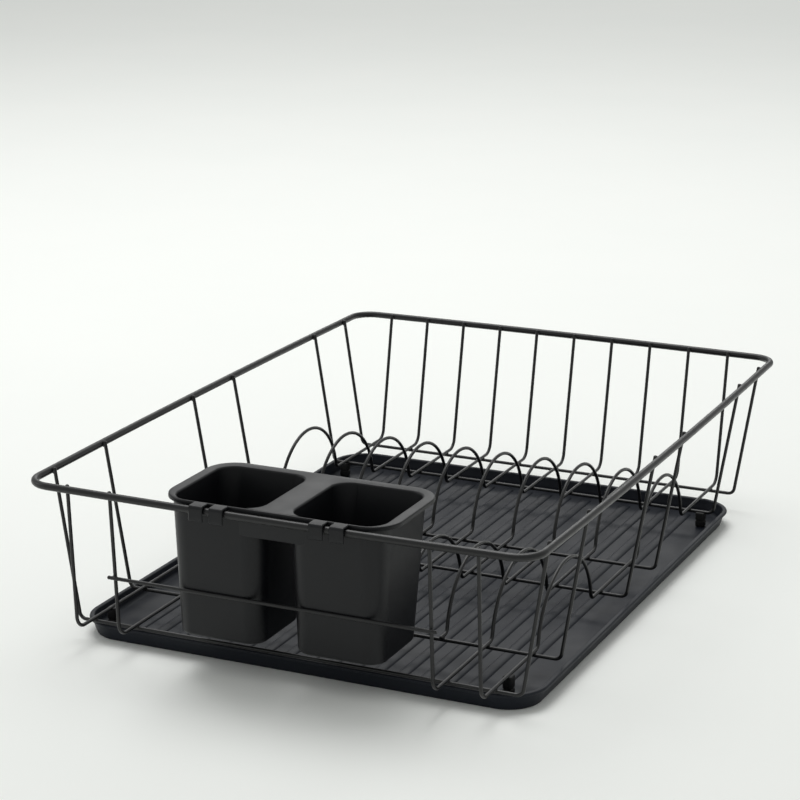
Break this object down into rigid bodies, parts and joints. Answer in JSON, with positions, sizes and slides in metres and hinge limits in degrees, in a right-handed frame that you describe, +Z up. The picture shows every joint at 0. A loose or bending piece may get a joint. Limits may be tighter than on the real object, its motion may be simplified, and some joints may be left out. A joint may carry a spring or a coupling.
{
  "type": "dish drying rack",
  "caption": "Wire dish drying rack with humped wires for plates, a rim, small feet, a drip tray under it and a two-cup cutlery holder hooked on the rim.",
  "frame": {"origin": "centre of the object's box at its underside, where the drip tray stands on the counter", "axes": "+Z up, +Y from the short side that carries the cutlery holder to the back, +X to the right seen from that side"},
  "size_m": [0.3704, 0.5224, 0.1212],
  "materials": {
    "coated_wire": "satin",
    "tray_plastic": "satin",
    "holder_plastic": "satin",
    "foot_plastic": "matt"
  },
  "bodies": {
    "tray": {"drip_tray": "tray_plastic"},
    "basket": {"rim_wire": "coated_wire", "plate_wire_01": "coated_wire", "plate_wire_02": "coated_wire", "plate_wire_03": "coated_wire", "plate_wire_04": "coated_wire", "plate_wire_05": "coated_wire", "plate_wire_06": "coated_wire", "plate_wire_07": "coated_wire", "plate_wire_08": "coated_wire", "plate_wire_09": "coated_wire", "plate_wire_10": "coated_wire", "cross_wire_1": "coated_wire", "cross_wire_2": "coated_wire", "cross_wire_3": "coated_wire", "cross_wire_4": "coated_wire", "cross_wire_5": "coated_wire", "cross_wire_6": "coated_wire", "holder_bar": "coated_wire", "foot_front_left": "foot_plastic", "foot_front_right": "foot_plastic", "foot_back_left": "foot_plastic", "foot_back_right": "foot_plastic"},
    "holder": {"cutlery_holder": "holder_plastic"}
  },
  "joints": [
    {"name": "basket_lift", "type": "slide", "parent": "tray", "child": "basket", "axis": [0, 0, 1], "range_m": [0, 0.15]},
    {"name": "holder_lift", "type": "slide", "parent": "basket", "child": "holder", "axis": [0, 0, 1], "range_m": [0, 0.12]}
  ]
}
